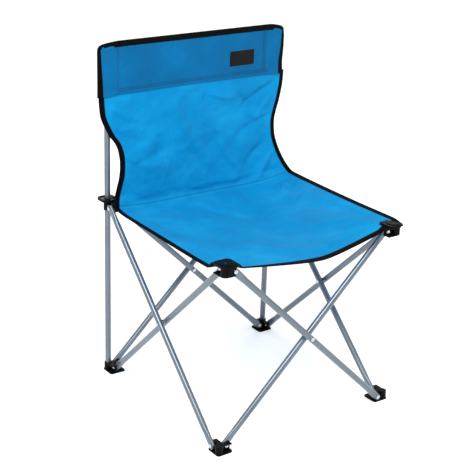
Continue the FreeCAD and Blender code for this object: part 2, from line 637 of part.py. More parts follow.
def write_corner_fittings():
    """Front caps, screws and patches, and the rear patches."""
    fittings = (("cap", make_corner_cap()), ("cap_screw", make_cap_screw()), ("patch", make_front_patch()))
    for corner, degrees in CORNERS[:2]:
        for name, shape in fittings:
            placed = shape.copy()
            placed.translate(Vector(-CORNER, -CORNER, 0))
            write(corner + "_" + name, turned(placed, degrees))
    for name, shape in zip(("patch", "patch_screw"), make_rear_patch()):
        write("rear_right_" + name, shape)
        write("rear_left_" + name, mirrored(shape))


def write_posts_and_fabric():
    """Posts with plugs, seat, backrest, band, sleeves and label."""
    post, plug = make_post()
    sleeve = make_right_sleeve()
    for name, shape in (("post", post), ("post_plug", plug), ("sleeve", sleeve)):
        write("right_" + name, shape)
        write("left_" + name, mirrored(shape))
    for name, solids in list(make_seat().items()) + list(make_back().items()):
        write(name, group(solids) if len(solids) > 1 else solids[0])
    panel, binding, label = make_band()
    write("band_panel", panel)
    write("top_binding", binding)
    write("label_patch", label)


os.makedirs("parts", exist_ok=True)
write_frame()
write_corner_fittings()
write_posts_and_fabric()
print("bar length %.1f, slope %.2f, corner %.1f, post %.1f, shift %.3f"
      % (BAR_LENGTH, BAR_SLOPE, CORNER, POST_AT, FRAME_SHIFT.y))
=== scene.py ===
"""Armless folding camping chair: fabric, bindings, stitching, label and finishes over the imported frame."""

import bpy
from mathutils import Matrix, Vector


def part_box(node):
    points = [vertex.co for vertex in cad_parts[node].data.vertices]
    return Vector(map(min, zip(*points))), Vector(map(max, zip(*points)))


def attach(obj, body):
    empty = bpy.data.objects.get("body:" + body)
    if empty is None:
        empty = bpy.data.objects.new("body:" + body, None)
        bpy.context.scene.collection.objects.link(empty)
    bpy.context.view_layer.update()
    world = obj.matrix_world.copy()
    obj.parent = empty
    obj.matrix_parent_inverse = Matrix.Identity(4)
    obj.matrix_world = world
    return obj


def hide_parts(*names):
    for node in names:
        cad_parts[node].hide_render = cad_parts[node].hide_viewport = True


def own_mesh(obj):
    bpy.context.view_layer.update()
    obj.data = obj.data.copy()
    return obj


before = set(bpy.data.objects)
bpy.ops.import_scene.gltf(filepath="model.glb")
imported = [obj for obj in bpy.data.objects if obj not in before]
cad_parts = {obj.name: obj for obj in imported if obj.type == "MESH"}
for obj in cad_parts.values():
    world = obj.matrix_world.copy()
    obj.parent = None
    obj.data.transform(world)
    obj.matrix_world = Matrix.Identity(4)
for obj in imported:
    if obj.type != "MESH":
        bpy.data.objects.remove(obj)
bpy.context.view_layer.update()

import math

import bmesh
import bpy
from bpy.props import FloatProperty, FloatVectorProperty, PointerProperty
from mathutils import Matrix, Vector, noise

bl_info = {
    "name": "Folding camping chair",
    "version": (1, 0, 0),
    "blender": (4, 5, 0),
    "location": "3D Viewport > Sidebar > Camp Chair",
    "description": "Models the cloth, trims and finishes of an armless folding camping chair",
    "category": "Object",
}

MM = 0.001


# ------------------------------------------------------------------ colours
def linear(hex_colour):
    """Linear RGBA of an sRGB hex colour."""
    values = [int(hex_colour[i:i + 2], 16) / 255 for i in (1, 3, 5)]
    return tuple(v / 12.92 if v <= 0.04045 else ((v + 0.055) / 1.055) ** 2.4 for v in values) + (1.0,)


def colour_property(name, text, hex_colour):
    """A colour a user may change."""
    return FloatVectorProperty(name=name, description=text, default=linear(hex_colour), size=4, min=0.0,
            max=1.0, subtype="COLOR")


def length_property(name, text, millimetres):
    """A length a user may change."""
    return FloatProperty(name=name, description=text, default=millimetres * MM, min=0.0, unit="LENGTH",
            subtype="DISTANCE")


class ChairSizes(bpy.types.PropertyGroup):
    """Sizes of the cloth work."""
    cloth: length_property("Cloth", "Thickness of the seat and back cloth", 0.6)
    band: length_property("Band", "Thickness of the doubled band", 1.6)
    mesh: length_property("Mesh", "Spacing of the points in the cloth", 4.0)
    binding: length_property("Binding", "Width of the tape on each face", 12.5)
    binding_right: length_property("Right binding", "Width of the tape on the right edge", 9.0)
    binding_half: length_property("Binding half thickness", "Tape's face above the middle of the cloth", 1.35)
    stitch: length_property("Stitch", "Length of one stitch", 3.4)
    stitch_pitch: length_property("Stitch pitch", "From one stitch to the next", 4.6)
    thread: length_property("Thread", "Thickness of the thread", 1.1)
    wrinkle: length_property("Wrinkle", "Depth of the random dents", 3.2)
    label_thick: length_property("Label", "Thickness of the label", 0.5)


class ChairColours(bpy.types.PropertyGroup):
    """Colours of the finishes."""
    cloth: colour_property("Cloth", "Seat and back", "#048ECC")
    cloth_light: colour_property("Cloth worn", "Rubbed high spots of the cloth", "#129DD6")
    band: colour_property("Band", "Doubled band along the top", "#04679C")
    tape: colour_property("Tape", "Edge binding", "#040405")
    label: colour_property("Label", "Woven label", "#030304")
    thread: colour_property("Thread", "Stitching", "#04284C")
    tube: colour_property("Tube", "Powder coat on the tubes", "#69737D")
    rivet: colour_property("Rivet", "Plated rivets", "#C8CCD2")
    screw: colour_property("Screw", "Blackened screws", "#24252A")
    nylon: colour_property("Nylon", "Moulded corners", "#070708")
    cap: colour_property("Cap", "Glossy caps", "#060607")
    floor: colour_property("Floor", "Studio floor", "#FFFFFF")


# ------------------------------------------------------------------ shader helper
def add_node(tree, kind, links=None, stops=(), **settings):
    """One shader node: inputs as values or sockets, a ramp's (position, colour) stops, and settings."""
    node = tree.nodes.new(kind)
    for index, (position, colour) in enumerate(stops):
        if index < 2:
            stop = node.color_ramp.elements[index]
            stop.position = position
        else:
            stop = node.color_ramp.elements.new(position)
        stop.color = colour
    for key, value in settings.items():
        setattr(node, key, value)
    for socket, source in (links or {}).items():
        if isinstance(source, bpy.types.NodeSocket):
            tree.links.new(source, node.inputs[socket])
        else:
            node.inputs[socket].default_value = source
    return node


def new_material(name):
    """An empty material, its tree and its surface shader."""
    material = bpy.data.materials.new(name)
    material.use_nodes = True
    return material, material.node_tree, material.node_tree.nodes["Principled BSDF"]


def connect(tree, shader, **sources):
    """Feed the shader's inputs: base_color=a socket, roughness=a number, and so on."""
    for key, source in sources.items():
        socket = shader.inputs[key.replace("_", " ").title().replace("Ior", "IOR")]
        if isinstance(source, bpy.types.NodeSocket):
            tree.links.new(source, socket)
        else:
            socket.default_value = source


def shade(colour, factor):
    """The same colour, lighter or darker."""
    return tuple(min(1.0, c * factor) for c in colour[:3]) + (1.0,)


def wave_scale(pitch, diagonal=False):
    """Scale that makes the wave texture repeat every pitch metres, straight across its bands."""
    return (math.tau / 10 / math.sqrt(3) if diagonal else math.tau / 20) / pitch


# ------------------------------------------------------------------ materials
def powder_coated_tube(colours):
    """Satin grey powder coat on steel tube: fine orange peel, faint flake, slight rubs."""
    material, tree, shader = new_material("powder_coated_steel_tube")
    place = add_node(tree, "ShaderNodeTexCoord").outputs["Object"]
    # Orange peel of powder coat is about 1.5 mm across; it breaks the long highlight a little.
    peel = add_node(tree, "ShaderNodeTexNoise", {"Vector": place, "Scale": 650.0, "Detail": 2.0})
    drift = add_node(tree, "ShaderNodeTexNoise", {"Vector": place, "Scale": 18.0, "Detail": 4.0})
    tone = add_node(tree, "ShaderNodeValToRGB", {"Fac": drift.outputs["Fac"]}, stops=[
        (0.3, shade(colours.tube, 0.86)), (0.5, tuple(colours.tube)), (0.72, shade(colours.tube, 1.12))])
    # Rubs and road dust, about 6 mm patches with hard edges, a little lighter than the coat.
    rub = add_node(tree, "ShaderNodeTexNoise", {"Vector": place, "Scale": 160.0, "Detail": 6.0,
            "Roughness": 0.7})
    rubbed = add_node(tree, "ShaderNodeMapRange", {"Value": rub.outputs["Fac"], "From Min": 0.62,
            "From Max": 0.7, "To Max": 0.35})
    mixed = add_node(tree, "ShaderNodeMix", {"Factor": rubbed.outputs["Result"], "A": tone.outputs["Color"],
            "B": shade(colours.tube, 1.35)}, data_type="RGBA")
    rough = add_node(tree, "ShaderNodeMapRange", {"Value": drift.outputs["Fac"], "To Min": 0.26,
            "To Max": 0.4})
    bump = add_node(tree, "ShaderNodeBump", {"Height": peel.outputs["Fac"], "Strength": 0.06,
            "Distance": 0.0004})
    connect(tree, shader, base_color=mixed.outputs["Result"], roughness=rough.outputs["Result"],
            normal=bump.outputs["Normal"], metallic=0.55, coat_weight=0.25, coat_roughness=0.18)
    return material


def worked_steel(name, stops, detail_scale, rough_low, rough_high, relief, metallic):
    """Small steel parts, their colour and gloss broken by handling marks about a millimetre across."""
    material, tree, shader = new_material(name)
    place = add_node(tree, "ShaderNodeTexCoord").outputs["Object"]
    marks = add_node(tree, "ShaderNodeTexNoise", {"Vector": place, "Scale": detail_scale, "Detail": 5.0})
    tone = add_node(tree, "ShaderNodeValToRGB", {"Fac": marks.outputs["Fac"]}, stops=stops)
    rough = add_node(tree, "ShaderNodeMapRange", {"Value": marks.outputs["Fac"], "To Min": rough_low,
            "To Max": rough_high})
    bump = add_node(tree, "ShaderNodeBump", {"Height": marks.outputs["Fac"], "Strength": relief,
            "Distance": 0.0002})
    connect(tree, shader, base_color=tone.outputs["Color"], roughness=rough.outputs["Result"],
            normal=bump.outputs["Normal"], metallic=metallic)
    return material


def moulded_plastic(name, colour, rough_low, rough_high, grain):
    """Black injection moulding: fine spark-eroded grain, uneven gloss and dusty scuffs."""
    material, tree, shader = new_material(name)
    place = add_node(tree, "ShaderNodeTexCoord").outputs["Object"]
    # Spark-eroded grain is about 0.3 mm across; drawn at 0.8 mm so that it shows.
    skin = add_node(tree, "ShaderNodeTexVoronoi", {"Vector": place, "Scale": 1250.0})
    gloss = add_node(tree, "ShaderNodeTexNoise", {"Vector": place, "Scale": 90.0, "Detail": 5.0})
    tone = add_node(tree, "ShaderNodeValToRGB", {"Fac": gloss.outputs["Fac"]}, stops=[
        (0.4, tuple(colour)), (0.62, shade(colour, 1.5)), (0.78, shade(colour, 3.2))])
    rough = add_node(tree, "ShaderNodeMapRange", {"Value": gloss.outputs["Fac"], "From Min": 0.3,
            "From Max": 0.7, "To Min": rough_low, "To Max": rough_high})
    bump = add_node(tree, "ShaderNodeBump", {"Height": skin.outputs["Distance"], "Strength": grain,
            "Distance": 0.0003})
    connect(tree, shader, base_color=tone.outputs["Color"], roughness=rough.outputs["Result"],
            normal=bump.outputs["Normal"], specular_ior_level=0.06)
    return material


def woven_polyester(name, colour, worn, sheen, creases):
    """Plain-weave coated polyester: fine square weave, chalky rubbed patches, soft sheen at a glance."""
    material, tree, shader = new_material(name)
    cut = add_node(tree, "ShaderNodeUVMap", uv_map="Cut").outputs["UV"]
    # Threads are 0.45 mm apart in such cloth; drawn at 0.82 mm so that the weave can be seen.
    waves = [add_node(tree, "ShaderNodeTexWave", {
        "Vector": cut, "Scale": wave_scale(0.0008168), "Distortion": 0.6, "Detail": 1.0,
        "Detail Scale": 2.0}, bands_direction=axis) for axis in ("X", "Y")]
    weave = add_node(tree, "ShaderNodeMath", {0: waves[0].outputs["Fac"], 1: waves[1].outputs["Fac"]},
            operation="MULTIPLY")
    # Thick places in the yarn, about 17 mm long and 1 mm wide.
    stretched = add_node(tree, "ShaderNodeMapping", {"Vector": cut, "Scale": (60.0, 900.0, 1.0)})
    slub = add_node(tree, "ShaderNodeTexNoise", {"Vector": stretched.outputs["Vector"], "Scale": 1.0,
            "Detail": 2.0})
    cloud = add_node(tree, "ShaderNodeTexNoise", {"Vector": cut, "Scale": 9.0, "Detail": 5.0,
            "Roughness": 0.55})
    base = add_node(tree, "ShaderNodeValToRGB", {"Fac": cloud.outputs["Fac"]}, stops=[
        (0.3, shade(colour, 0.86)), (0.5, tuple(colour)), (0.72, tuple(worn))])
    # Painted highlight and shade of the weave: the colour is lighter where the threads stand highest and
    # darker between them.
    painted_weave_shading = add_node(tree, "ShaderNodeMapRange", {"Value": weave.outputs["Value"], "To Min": 0.86,
            "To Max": 1.08})
    slubbed = add_node(tree, "ShaderNodeMapRange", {"Value": slub.outputs["Fac"], "To Min": 0.94,
            "To Max": 1.06})
    both = add_node(tree, "ShaderNodeMath", {0: painted_weave_shading.outputs["Result"], 1: slubbed.outputs["Result"]},
            operation="MULTIPLY")
    toned = add_node(tree, "ShaderNodeVectorMath", {0: base.outputs["Color"], "Scale": both.outputs["Value"]},
            operation="SCALE")
    bump = add_node(tree, "ShaderNodeBump", {"Height": weave.outputs["Value"], "Strength": 0.25,
            "Distance": 0.0003})
    fine = add_node(tree, "ShaderNodeTexNoise", {"Vector": cut, "Scale": 55.0, "Detail": 6.0,
            "Roughness": 0.6})
    # Storage leaves shallow hollows about 55 mm across, with creased borders that noise bends.
    bent = add_node(tree, "ShaderNodeTexNoise", {"Vector": cut, "Scale": 7.0, "Detail": 3.0})
    spread = add_node(tree, "ShaderNodeVectorMath", {0: bent.outputs["Color"], "Scale": 0.12},
            operation="SCALE")
    shifted = add_node(tree, "ShaderNodeVectorMath", {0: cut, 1: spread.outputs["Vector"]}, operation="ADD")
    hollows = add_node(tree, "ShaderNodeTexVoronoi", {"Vector": shifted.outputs["Vector"], "Scale": 18.0})
    creased = add_node(tree, "ShaderNodeBump", {"Height": hollows.outputs["Distance"], "Strength": creases,
            "Distance": 0.007, "Normal": bump.outputs["Normal"]})
    crumple = add_node(tree, "ShaderNodeBump", {"Height": fine.outputs["Fac"], "Strength": 0.4,
            "Distance": 0.002, "Normal": creased.outputs["Normal"]})
    rough = add_node(tree, "ShaderNodeMapRange", {"Value": cloud.outputs["Fac"], "To Min": 0.52,
            "To Max": 0.72})
    connect(tree, shader, base_color=toned.outputs["Vector"], roughness=rough.outputs["Result"],
            normal=crumple.outputs["Normal"], specular_ior_level=0.07, sheen_weight=sheen,
            sheen_roughness=0.4, sheen_tint=(0.7, 0.88, 1.0, 1.0))
    return material


def polypropylene_tape(colours):
    """Woven polypropylene edge tape: ribs across the tape every millimetre, slightly waxy."""
    material, tree, shader = new_material("woven_polypropylene_tape")
    along = add_node(tree, "ShaderNodeUVMap", uv_map="Cut").outputs["UV"]
    ribs = add_node(tree, "ShaderNodeTexWave", {"Vector": along, "Scale": wave_scale(0.001005),
            "Distortion": 0.5},
            bands_direction="X")
    lint = add_node(tree, "ShaderNodeTexNoise", {"Vector": along, "Scale": 240.0, "Detail": 4.0})
    tone = add_node(tree, "ShaderNodeValToRGB", {"Fac": lint.outputs["Fac"]}, stops=[
        (0.35, shade(colours.tape, 0.7)), (0.6, tuple(colours.tape)), (0.8, shade(colours.tape, 2.6))])
    # Painted highlight and shade: the colour is lighter on each rib and darker in the grooves between, in
    # step with the rib bump.
    ribbed = add_node(tree, "ShaderNodeMapRange", {"Value": ribs.outputs["Fac"], "To Min": 0.75,
            "To Max": 1.25})
    toned = add_node(tree, "ShaderNodeVectorMath", {0: tone.outputs["Color"],
            "Scale": ribbed.outputs["Result"]},
            operation="SCALE")
    bump = add_node(tree, "ShaderNodeBump", {"Height": ribs.outputs["Fac"], "Strength": 0.5,
            "Distance": 0.0004})
    rough = add_node(tree, "ShaderNodeMapRange", {"Value": lint.outputs["Fac"], "To Min": 0.5,
            "To Max": 0.75})
    connect(tree, shader, base_color=toned.outputs["Vector"], roughness=rough.outputs["Result"],
            normal=bump.outputs["Normal"], specular_ior_level=0.06)
    return material


def ribbed_textile(name, colour, pitch, waver, lint_scale, worn, relief, depth, roughness):
    """Black webbing or satin label: diagonal ribs at their pitch, with lint caught in them."""
    material, tree, shader = new_material(name)
    place = add_node(tree, "ShaderNodeTexCoord").outputs["Object"]
    ribs = add_node(tree, "ShaderNodeTexWave", {"Vector": place, "Scale": wave_scale(pitch, diagonal=True),
            "Distortion": waver}, bands_direction="DIAGONAL")
    lint = add_node(tree, "ShaderNodeTexNoise", {"Vector": place, "Scale": lint_scale, "Detail": 4.0})
    tone = add_node(tree, "ShaderNodeValToRGB", {"Fac": lint.outputs["Fac"]}, stops=[
        (0.4, tuple(colour)), (0.75, shade(colour, worn))])
    bump = add_node(tree, "ShaderNodeBump", {"Height": ribs.outputs["Fac"], "Strength": relief,
            "Distance": depth})
    connect(tree, shader, base_color=tone.outputs["Color"], normal=bump.outputs["Normal"],
            roughness=roughness, specular_ior_level=0.16)
    return material


def polyester_thread(colours):
    """Twisted polyester thread: tight ply ridges, 0.4 mm apart, with a painted highlight on each ridge and
    painted shade between them.
    """
    material, tree, shader = new_material("polyester_sewing_thread")
    place = add_node(tree, "ShaderNodeTexCoord").outputs["Object"]
    ply = add_node(tree, "ShaderNodeTexWave", {"Vector": place, "Scale": 900.0}, bands_direction="DIAGONAL")
    # Painted highlight and shade: the colour is lighter on each ply ridge and darker between them, as light
    # would fall on them.
    tone = add_node(tree, "ShaderNodeValToRGB", {"Fac": ply.outputs["Fac"]}, stops=[
        (0.2, shade(colours.thread, 0.7)), (0.8, shade(colours.thread, 1.3))])
    bump = add_node(tree, "ShaderNodeBump", {"Height": ply.outputs["Fac"], "Strength": 0.4,
            "Distance": 0.0002})
    connect(tree, shader, base_color=tone.outputs["Color"], normal=bump.outputs["Normal"], roughness=0.55)
    return material


# ------------------------------------------------------------------ cloth shape
class Track:
    """A smooth line through (station, values...) rows."""

    def __init__(self, rows):
        self.rows = rows

    def __call__(self, station):
        rows = self.rows
        station = min(max(station, rows[0][0]), rows[-1][0])
        i = 0
        while i < len(rows) - 2 and station > rows[i + 1][0]:
            i += 1
        a, b = rows[i], rows[i + 1]
        step = b[0] - a[0]
        s = (station - a[0]) / step
        values = []
        for k in range(1, len(a)):
            before = rows[i - 1] if i > 0 else None
            after = rows[i + 2] if i + 2 < len(rows) else None
            slope = (b[k] - a[k]) / step
            start = (b[k] - before[k]) / (b[0] - before[0]) if before else slope
            end = (after[k] - a[k]) / (after[0] - a[0]) if after else slope
            values.append((2 * s ** 3 - 3 * s ** 2 + 1) * a[k] + (s ** 3 - 2 * s ** 2 + s) * step * start
                          + (-2 * s ** 3 + 3 * s ** 2) * b[k] + (s ** 3 - s ** 2) * step * end)
        return values if len(values) > 1 else values[0]


# Stations run 0 at the front hem, 1 at the seam between seat and back, 2 at the foot of the band.
LEFT_EDGE = Track([
    (0.0, -243, -241, 433), (0.04, -245, -222, 426), (0.1, -246, -198, 421.5), (0.35, -247, -96, 423),
    (0.6, -247, 10, 426), (0.8, -247, 95, 428), (0.93, -246.5, 150, 430), (1.0, -244, 178, 435),
    (1.06, -238, 191, 452),
    (1.14, -229, 196.5, 474), (1.25, -220, 200, 500), (1.375, -215, 205.5, 529), (1.5, -216, 211.5, 556),
    (1.58, -222, 215.5, 574), (1.66, -235, 218.5, 593), (1.82, -255, 220.8, 634), (1.93, -259.5, 221.5, 664),
    (2.0, -260, 222.5, 684), (2.1, -260, 223.5, 696)])
RIGHT_EDGE = Track([
    (0.0, 245, -241, 440.5), (0.04, 246, -222, 443.5), (0.1, 246, -198, 444), (0.35, 247, -97, 443.5),
    (0.6, 247, 8, 445), (0.8, 247, 84, 447), (0.93, 246.5, 130, 449), (1.0, 245, 154, 452),
    (1.06, 242, 170, 463),
    (1.14, 236, 182, 481), (1.25, 229, 192, 504), (1.375, 225, 203, 531), (1.5, 226, 210, 556),
    (1.58, 229, 214, 573), (1.66, 235.5, 217.5, 590), (1.82, 247, 220.5, 621), (1.93, 255, 221.5, 657),
    (2.0, 257.5, 222.5, 684), (2.1, 258, 223.5, 696)])
MIDDLE_LINE = Track([
    (0.0, -240.5, 397), (0.12, -190, 403), (0.35, -96, 402), (0.6, 10, 400), (0.8, 95, 405), (0.93, 155, 413),
    (1.0, 193.5, 420.5), (1.1, 199, 446), (1.25, 206, 484), (1.5, 214, 550), (1.75, 219.5, 617),
    (2.0, 221.3, 686), (2.1, 221.5, 697)])
# How flat the cloth lies across: 1 is a straight fall to the middle, 3 a flat middle with lifted edges.
FLATNESS = Track([(0.0, 1.15), (0.12, 1.45), (0.35, 1.9), (0.7, 2.2), (1.0, 3.6), (1.25, 2.6), (2.0, 2.0),
                  (2.1, 2.0)])
HEM_LOW_AT = 0.1            # the hem's lowest point, as a share of the half width to the right
CREASE_AT = 0.06            # the storage crease along the seat, the same way
CREASE_SHARE = 0.22         # how much of the seat's sag falls straight to that crease
SEAT_FOLD = 0.546           # the seat folds here when the chair closes
BACK_FOLD = 1.375           # and the back folds here
HUB_X, HUB_Y = 0.2245, 0.22905
CAP_REACH = 0.0205
HUB_TOP = 0.4358

# Tension folds: (x, y or z, x, y or z, depth, half width), all in mm.
# Seat folds are seen in plan and back folds in elevation; each runs from its first point to its second.
SEAT_FOLDS = (
    (-205, -205, -60, -120, 3.2, 16), (-215, -150, 40, -170, 2.6, 12), (-120, -90, 60, -205, 3.0, 14),
    (205, -205, 90, -120, -2.6, 12), (210, -190, 120, -60, 2.4, 13), (215, -170, 170, 10, -2.2, 14),
    (212, -205, 60, -190, 2.0, 9), (205, -212, 20, -215, -1.8, 9), (150, -215, -20, -180, 1.8, 10),
    (228, 60, 120, -20, 2.4, 16), (222, 120, 130, 40, -2.6, 18), (210, 140, 160, 60, 2.4, 12),
    (-200, 150, -90, 60, 2.0, 22), (-225, 60, -120, -40, -1.8, 20), (-40, 150, 60, 20, -2.0, 26),
    (212, -195, 95, -70, 2.6, 7), (214, -190, 130, -110, -2.2, 6), (216, -185, 150, -40, 2.4, 7),
    (220, -170, 190, 20, -2.4, 8), (205, -210, 120, -165, 2.4, 6), (110, 160, 40, 30, -4.0, 34),
    (80, 150, 110, -60, 2.6, 24), (-60, 20, 100, -110, -2.2, 22), (-190, -120, -80, -190, -2.0, 12))
BACK_FOLDS = (
    (238, 668, 120, 600, -3.0, 10), (232, 640, 160, 560, 2.4, 12), (215, 585, 110, 540, -2.4, 14),
    (205, 560, 130, 610, 2.2, 10), (-238, 660, -130, 610, 2.0, 14), (-228, 600, -120, 560, -2.2, 14),
    (-210, 545, -90, 500, 2.4, 16), (-60, 640, 10, 520, 2.4, 20), (20, 660, 90, 560, -2.4, 18),
    (-120, 560, -40, 470, -2.2, 20), (60, 540, 130, 450, 2.6, 18), (-10, 520, 60, 440, -2.0, 16),
    (190, 520, 120, 455, -2.6, 14), (215, 500, 165, 430, 3.0, 10), (-215, 500, -150, 440, 2.4, 14),
    (120, 650, 190, 600, -2.6, 9), (40, 655, 120, 640, 2.2, 8), (-170, 520, -60, 545, -1.8, 14))


def smooth(value, low, high):
    """0 below low, 1 above high, eased between."""
    s = min(max((value - low) / (high - low), 0.0), 1.0)
    return s * s * (3 - 2 * s)


def fold_depth(folds, x, y):
    """Depth of the tension folds at a point, all in mm."""
    total = 0.0
    for x0, y0, x1, y1, depth, width in folds:
        dx, dy = x1 - x0, y1 - y0
        length = math.hypot(dx, dy)
        s = ((x - x0) * dx + (y - y0) * dy) / length ** 2
        if -0.3 < s < 1.3:
            bow = 0.06 * length * math.sin(math.pi * s)
            side = ((x - x0) * dy - (y - y0) * dx) / length - bow
            spread = width * (0.45 + 0.8 * min(max(s, 0.0), 1.0))
            reach = smooth(s, -0.12, 0.2) * (1 - smooth(s, 0.55, 1.2))
            q = side / spread
            if abs(q) < 3.5:
                total += depth * reach * math.exp(-abs(q) ** 1.3) * (1 - 0.6 * math.tanh(q))
    return total


def plain_point(across, station):
    """Cloth point before folds and dents; across runs -1 to 1."""
    left, right, middle = LEFT_EDGE(station), RIGHT_EDGE(station), MIDDLE_LINE(station)
    edge = left if across < 0 else right
    power = FLATNESS(station)
    low_at = HEM_LOW_AT + (CREASE_AT - HEM_LOW_AT) * smooth(station, 0.0, 0.4)
    low_at *= 1 - smooth(station, 0.9, 1.1)
    share = (across - low_at) / (1 - low_at) if across > low_at else (low_at - across) / (1 + low_at)
    bend = (math.sqrt(share * share + 0.01) - 0.1) / (math.sqrt(1.01) - 0.1)
    straight = CREASE_SHARE * (1 - smooth(station, 0.8, 1.0))
    weight = bend ** power * (1 - straight) + bend * straight
    x = abs(across) * edge[0]
    y = middle[0] + (edge[1] - middle[0]) * abs(across) ** 2.6
    z = middle[1] + (edge[2] - middle[1]) * weight
    point = Vector((x, y, z)) * MM
    if station < 0.5:
        off_x = max(0.0, abs(abs(point.x) - HUB_X) - CAP_REACH)
        off_y = max(0.0, abs(point.y + HUB_Y) - CAP_REACH)
        lift = 1 - smooth(math.hypot(off_x, off_y), 0.0, 0.014)
        point.z += max(0.0, HUB_TOP - point.z) * lift
    return point


def plain_normal(across, station):
    """Upward or forward normal of the plain cloth."""
    d = 0.002
    a = plain_point(max(-1.0, across - d), station)
    b = plain_point(min(1.0, across + d), station)
    c = plain_point(across, max(0.0, station - d))
    e = plain_point(across, min(2.1, station + d))
    return (b - a).cross(e - c).normalized()


def cloth_point(across, station, depth):
    """Finished cloth point with folds and dents, calm at its edges."""
    point = plain_point(across, station)
    normal = plain_normal(across, station)
    x, y, z = point / MM
    back_share = smooth(station, 0.96, 1.1)
    folds = 0.0
    if back_share < 1:
        folds += (1 - back_share) * fold_depth(SEAT_FOLDS, x, y)
    if back_share > 0:
        folds += back_share * fold_depth(BACK_FOLDS, x, z)
    pitch = 9 + 4 * back_share
    seed = Vector((point.x * pitch, point.y * pitch + 4.0, point.z * pitch + 7.0))
    dents = noise.fractal(seed, 0.9, 2.1, 4)
    ridges = noise.ridged_multi_fractal(seed * 0.8 + Vector((3, 1, 5)), 0.9, 2.0, 3, 0.9, 2.0) - 1.1
    amount = folds * MM * (1.6 + 0.7 * back_share) + dents * depth
    amount += ridges * depth * (0.45 + 0.35 * back_share)
    calm = smooth(1 - abs(across), 0.02, 0.14)
    if station < 1:
        calm *= smooth(station, 0.02, 0.1)
    else:
        calm *= smooth(2.02 - station, 0.0, 0.1)
    calm *= 0.25 + 0.75 * smooth(abs(station - 1.0), 0.005, 0.05)
    crease = math.exp(-((station - 1.0) / 0.009) ** 2) * -2.4 * MM
    return point + normal * (amount * calm + crease * smooth(1 - abs(across), 0.0, 0.05)), normal


class Cloth:
    """Grid of finished cloth points from the hem to the band, shared by all its pieces."""

    def __init__(self, sizes):
        columns = int(round(0.49 / sizes.mesh))
        self.across = [-1 + 2 * i / columns for i in range(columns + 1)]
        self.stations = self._stations(sizes.mesh)
        self.rows = [[cloth_point(a, s, sizes.wrinkle)[0] for a in self.across] for s in self.stations]
        self.normals = self._normals()
        self.run = [0.0]
        half = columns // 2
        for j in range(1, len(self.rows)):
            self.run.append(self.run[-1] + (self.rows[j][half] - self.rows[j - 1][half]).length)

    @staticmethod
    def _stations(spacing):
        """Even steps that land on the hem, the folds, the seam and the band."""
        stops = (0.0, SEAT_FOLD, 1.0, BACK_FOLD, 2.0, 2.05)
        lengths = (0.434, 0.434, 0.27, 0.27, 0.27)
        stations = []
        for low, high, length in zip(stops, stops[1:], lengths):
            count = max(2, int(round((high - low) * length / spacing)))
            stations += [low + (high - low) * k / count for k in range(count)]
        return stations + [stops[-1]]

    def _normals(self):
        """Smooth normals over the whole sheet, so that its pieces meet without a line."""
        out = []
        for j, row in enumerate(self.rows):
            line = []
            for i in range(len(row)):
                a, b = row[max(0, i - 1)], row[min(len(row) - 1, i + 1)]
                c, e = self.rows[max(0, j - 1)][i], self.rows[min(len(self.rows) - 1, j + 1)][i]
                line.append((b - a).cross(e - c).normalized())
            out.append(line)
        return out

    def band_of(self, low, high):
        """Row numbers between two stations."""
        return [j for j, s in enumerate(self.stations) if low - 1e-6 <= s <= high + 1e-6]

    def length(self, low, high):
        """Length of the cloth's middle between two stations."""
        numbers = self.band_of(low, high)
        return self.run[numbers[-1]] - self.run[numbers[0]]


def finished_object(name, mesh, material):
    """Object of a mesh, with its finish, at the origin of the scene."""
    mesh.materials.append(material)
    thing = bpy.data.objects.new(name, mesh)
    bpy.context.scene.collection.objects.link(thing)
    return thing


def closed_strip(name, verts, faces, material, uvs=None):
    """Object of a closed strip turned outwards; one with a flat cut keeps its two end caps flat."""
    mesh = bpy.data.meshes.new(name)
    mesh.from_pydata(verts, [], faces)
    if uvs:
        layer = mesh.uv_layers.new(name="Cut")
        for loop in mesh.loops:
            layer.data[loop.index].uv = uvs[loop.vertex_index]
    work = bmesh.new()
    work.from_mesh(mesh)
    bmesh.ops.recalc_face_normals(work, faces=work.faces)
    for polygon in work.faces:
        polygon.smooth = not uvs or len(polygon.verts) == 4
    work.to_mesh(mesh)
    work.free()
    return finished_object(name, mesh, material)


def two_sided(name, rows, normals, cut, thickness, material):
    """Closed thin sheet from a grid: face, back and rim, with the normals given."""
    high, wide = len(rows), len(rows[0])
    count = high * wide
    face = [p for row in rows for p in row]
    back = [p - n * thickness for row, line in zip(rows, normals) for p, n in zip(row, line)]
    quads = []
    for j in range(high - 1):
        for i in range(wide - 1):
            a = j * wide + i
            quads.append((a, a + 1, a + wide + 1, a + wide))
    faces = quads + [tuple(count + k for k in reversed(q)) for q in quads]
    rim = [i for i in range(wide)] + [j * wide + wide - 1 for j in range(1, high)]
    rim += [(high - 1) * wide + i for i in range(wide - 2, -1, -1)]
    rim += [j * wide for j in range(high - 2, 0, -1)]
    walls = []
    for a, b in zip(rim, rim[1:] + rim[:1]):
        walls.append((b, a, count + a, count + b))
    mesh = bpy.data.meshes.new(name)
    mesh.from_pydata(face + back, [], faces + walls)
    uv = mesh.uv_layers.new(name="Cut")
    flat = [c for line in cut for c in line]
    for loop in mesh.loops:
        uv.data[loop.index].uv = flat[loop.vertex_index % count]
    mesh.polygons.foreach_set("use_smooth", [True] * len(faces) + [False] * len(walls))
    line = [n for row in normals for n in row]
    custom = []
    for polygon in mesh.polygons:
        wall = polygon.index >= len(faces)
        for index in polygon.vertices:
            smooth_normal = line[index] if index < count else -line[index - count]
            custom.append((polygon.normal if wall else smooth_normal)[:])
    mesh.normals_split_custom_set(custom)
    return finished_object(name, mesh, material)


